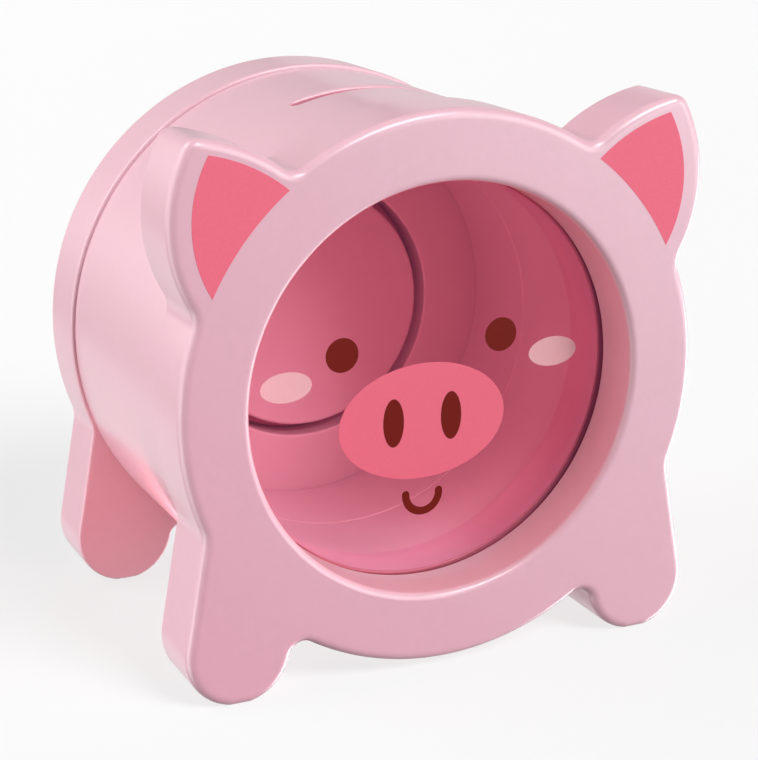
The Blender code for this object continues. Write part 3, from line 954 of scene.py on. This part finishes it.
# ------------------------------------------------------------------ dowels stay as designed
for name in ("dowel_upper_right", "dowel_upper_left", "dowel_lower_left", "dowel_lower_right"):
    node = frame["nodes"][name]
    node.data.materials.clear()
    node.data.materials.append(MAT_BEECH)

# ------------------------------------------------------------------ stage, light, camera
BACKDROP = 0.956                               # even studio white, seen by the camera only
FLOOR_SHARE = 0.20                             # how much of the floor's white the lights give

floor_mesh = bpy.data.meshes.new("floor")
bm = bmesh.new()
bmesh.ops.create_grid(bm, x_segments=8, y_segments=8, size=14.0)
bm.to_mesh(floor_mesh)
bm.free()
floor = bpy.data.objects.new("floor", floor_mesh)
floor.location = (0, 0, FLOOR - 0.00002)
bpy.context.scene.collection.objects.link(floor)
for ray in ("visible_diffuse", "visible_glossy", "visible_transmission", "visible_shadow"):
    setattr(floor, ray, False)
mat, tree, out = nodes_for("floor_white")
where = add(tree, "ShaderNodeTexCoord").outputs["Object"]
cloud = add(tree, "ShaderNodeTexNoise", {"Vector": where, "Scale": 3.0, "Detail": 2.0})
tone = add(tree, "ShaderNodeMapRange", {"Value": cloud.outputs["Fac"],
                                        "To Min": FLOOR_SHARE * 0.99,
                                        "To Max": FLOOR_SHARE * 1.01})
grey = add(tree, "ShaderNodeCombineColor", {"Red": tone.outputs["Result"],
                                            "Green": tone.outputs["Result"],
                                            "Blue": tone.outputs["Result"]})
lit = add(tree, "ShaderNodeBsdfDiffuse", {"Color": grey.outputs["Color"], "Roughness": 0.9})
base = add(tree, "ShaderNodeEmission", {"Color": (1, 1, 1, 1),
                                        "Strength": BACKDROP - 1.07 * FLOOR_SHARE})
both = add(tree, "ShaderNodeAddShader", {0: lit.outputs[0], 1: base.outputs[0]})
tree.links.new(both.outputs[0], out.inputs["Surface"])
floor_mesh.materials.append(mat)

world = bpy.data.worlds.new("studio")
bpy.context.scene.world = world
world.use_nodes = True
tree = world.node_tree
backdrop = tree.nodes["Background"]
path = add(tree, "ShaderNodeLightPath")
strength = add(tree, "ShaderNodeMapRange", {"Value": path.outputs["Is Camera Ray"],
                                            "To Min": 0.078, "To Max": BACKDROP})
backdrop.inputs["Color"].default_value = (1.0, 1.0, 1.0, 1.0)
tree.links.new(strength.outputs["Result"], backdrop.inputs["Strength"])


def softbox(name, azimuth, elevation, energy, spread=45.0):
    """A distant soft light; azimuth runs from straight ahead of the face towards +X."""
    data = bpy.data.lights.new(name, "SUN")
    data.angle = math.radians(spread)
    data.energy = energy
    lamp = bpy.data.objects.new(name, data)
    a, e = math.radians(azimuth), math.radians(elevation)
    towards = Vector((math.sin(a) * math.cos(e), -math.cos(a) * math.cos(e), math.sin(e)))
    lamp.rotation_euler = towards.to_track_quat("Z", "Y").to_euler()
    bpy.context.scene.collection.objects.link(lamp)
    return lamp


softbox("front_right_high", 22, 45, 3 * 0.690, spread=28.0)
softbox("front_right_low", 45, 8, 3 * 0.597)
softbox("back_left_high", 247, 45, 3 * 0.333)
edge_light = softbox("back_left_edge", 247, 45, 3 * 0.333)
softbox("left_low", 270, 8, 3 * 0.328)
softbox("back_left_low", 225, 8, 3 * 0.187)
softbox("back_low", 180, 8, 3 * 0.053)
softbox("back_right_low", 135, 8, 3 * 0.088)
softbox("left_card", 270, -30, 3 * 0.405)
softbox("back_card", 180, -30, 3 * 0.106)
softbox("right_card", 90, -30, 3 * 0.868)

lit_pieces = bpy.data.collections.new("lit_pieces")
for obj in bpy.context.scene.objects:
    if obj.type == "MESH" and obj is not floor:
        lit_pieces.objects.link(obj)
edge_light.light_linking.receiver_collection = lit_pieces


def fill(name, place, target, size, power, colour, spot=None):
    """A small hidden light that only the object's own pieces receive."""
    data = bpy.data.lights.new(name, "SPOT" if spot else "AREA")
    if spot:
        data.spot_size, data.spot_blend, data.shadow_soft_size = math.radians(spot), 1.0, size
    else:
        data.shape = "RECTANGLE"
        data.size, data.size_y = size
    data.energy = power
    data.color = colour
    lamp = bpy.data.objects.new(name, data)
    lamp.location = place
    lamp.rotation_euler = (Vector(target) - Vector(place)).to_track_quat("-Z", "Y").to_euler()
    lamp.visible_camera = False
    lamp.visible_glossy = False
    bpy.context.scene.collection.objects.link(lamp)
    lamp.light_linking.receiver_collection = lit_pieces
    return lamp


fill("chamber_glow", (0, FACE + 0.0195, AXIS_Z), (0, FACE + 0.08, AXIS_Z), (0.06, 0.06), 0.0068,
     (0.85, 1.0, 0.94))
fill("chamber_beam", (0.020, FACE + 0.0205, AXIS_Z + 0.024), (-0.040, FACE + 0.078, AXIS_Z - 0.040),
     0.008, 0.058, (0.85, 0.90, 0.95), spot=75)
fill("chamber_sill", (0.022, FACE + 0.0205, AXIS_Z + 0.030), (-0.020, FACE + 0.024, AXIS_Z - 0.050),
     0.006, 0.120, (0.45, 0.95, 1.0), spot=60)
for side in (-1, 1):
    fill("foot_glow", (side * 0.060, FACE + 0.030, FLOOR + 0.022),
         (side * 0.055, FACE + 0.080, FLOOR + 0.022), (0.02, 0.03),
         0.0145 if side < 0 else 0.004, (1.0, 0.45, 0.46))

bpy.context.scene.view_settings.view_transform = "Standard"
bpy.context.scene.view_settings.look = "None"

# The camera stands where the picture was taken from; distances are in units of the face's radius.
YAW, PITCH, ROLL = 0.3700603, 0.2246725, -0.0197596
FOCAL, PP_X, PP_Y = 2015.6182, 217.490, 220.735       # for a picture 758 wide and 760 high
STAND = Vector((-3.1699829, -5.9756133, 2.1641240)) * U + Vector((0.0, FACE, AXIS_Z))
w = Vector((math.sin(YAW) * math.cos(PITCH), math.cos(YAW) * math.cos(PITCH), -math.sin(PITCH)))
r0 = Vector((math.cos(YAW), -math.sin(YAW), 0.0))
u0 = r0.cross(w)
right = r0 * math.cos(ROLL) + u0 * math.sin(ROLL)
up = -r0 * math.sin(ROLL) + u0 * math.cos(ROLL)
cam_data = bpy.data.cameras.new("camera")
cam = bpy.data.objects.new("camera", cam_data)
bpy.context.scene.collection.objects.link(cam)
cam.matrix_world = Matrix(((right.x, up.x, -w.x, STAND.x), (right.y, up.y, -w.y, STAND.y),
                           (right.z, up.z, -w.z, STAND.z), (0, 0, 0, 1)))
cam_data.sensor_width = 36.0
cam_data.lens = FOCAL * 36.0 / 760.0
cam_data.clip_start, cam_data.clip_end = 0.01, 60.0
SHIFT = ((379.0 - PP_X) / 760.0, (PP_Y - 380.0) / 760.0)
cam_data.shift_x, cam_data.shift_y = SHIFT
# The lens shift belongs to this standpoint: it fades out when the camera is moved elsewhere.
for path, amount in (("shift_x", SHIFT[0]), ("shift_y", SHIFT[1])):
    curve = cam_data.driver_add(path)
    curve.driver.type = "SCRIPTED"
    for axis in "XYZ":
        var = curve.driver.variables.new()
        var.name = "p" + axis.lower()
        var.type = "TRANSFORMS"
        var.targets[0].id = cam
        var.targets[0].transform_type = "LOC_" + axis
        var.targets[0].transform_space = "WORLD_SPACE"
    curve.driver.expression = (
        f"{amount:.6f} * max(0, 1 - 100 * (abs(px - {STAND.x:.6f}) + abs(py - {STAND.y:.6f})"
        f" + abs(pz - {STAND.z:.6f})))")
bpy.context.scene.camera = cam
bpy.context.view_layer.update()
